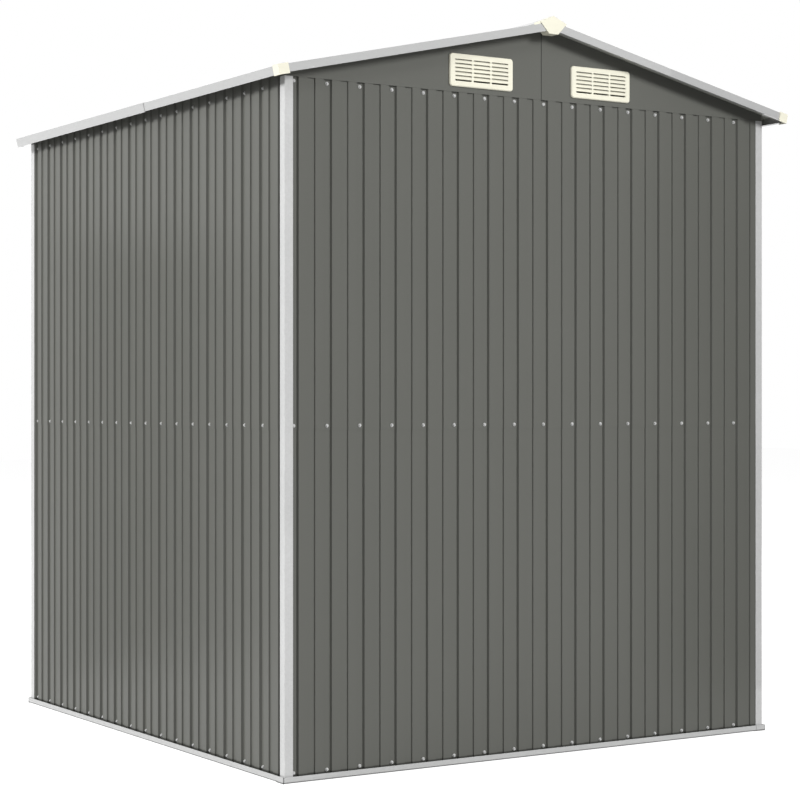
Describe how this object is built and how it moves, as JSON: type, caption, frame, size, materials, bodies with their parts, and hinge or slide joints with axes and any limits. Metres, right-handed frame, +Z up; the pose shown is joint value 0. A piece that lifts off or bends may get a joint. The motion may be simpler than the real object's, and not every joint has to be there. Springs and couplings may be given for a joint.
{
  "type": "metal storage shed",
  "caption": "Garden storage shed of ribbed steel sheet on a base frame, with pale corner posts, a low gable roof, cream louvre vents and caps, and closed sliding doors.",
  "frame": {"origin": "centre of the shed's outline on the ground, roof overhang counted", "axes": "+Z up, -Y out of the front gable with the doors, +Y out of the plain rear gable, +X to the right seen from the front"},
  "size_m": [1.916, 1.9086, 2.247],
  "materials": {
    "wall_sheet": "satin",
    "roof_sheet": "satin",
    "galvanised": "spangled satin",
    "pale_trim": "satin",
    "cream_plastic": "satin",
    "dark_plastic": "matte"
  },
  "bodies": {
    "root": {"base_rail_front": "galvanised", "base_rail_left": "galvanised", "base_rail_rear": "galvanised", "base_rail_right": "galvanised", "door_frames": "galvanised", "door_handles": "dark_plastic", "door_header": "galvanised", "door_jambs": "galvanised", "door_left": "wall_sheet", "door_right": "wall_sheet", "eave_trim_left": "pale_trim", "eave_trim_right": "pale_trim", "front_gable_left": "wall_sheet", "front_gable_right": "wall_sheet", "front_panel_left_lower": "wall_sheet", "front_panel_left_upper": "wall_sheet", "front_panel_right_lower": "wall_sheet", "front_panel_right_upper": "wall_sheet", "front_rake_trims": "pale_trim", "front_vents": "cream_plastic", "left_wall_lower": "wall_sheet", "left_wall_upper": "wall_sheet", "mid_rails": "galvanised", "post_front_left": "galvanised", "post_front_right": "galvanised", "post_rear_left": "galvanised", "post_rear_right": "galvanised", "rear_eave_caps": "cream_plastic", "rear_gable_left": "wall_sheet", "rear_gable_right": "wall_sheet", "rear_rake_trims": "pale_trim", "rear_vents": "cream_plastic", "rear_wall_lower": "wall_sheet", "rear_wall_upper": "wall_sheet", "ridge_beam": "galvanised", "ridge_cap": "pale_trim", "ridge_end_caps": "cream_plastic", "right_wall_lower": "wall_sheet", "right_wall_upper": "wall_sheet", "roof_left": "roof_sheet", "roof_right": "roof_sheet", "top_rail_left": "galvanised", "top_rail_rear": "galvanised", "top_rail_right": "galvanised"}
  },
  "joints": []
}
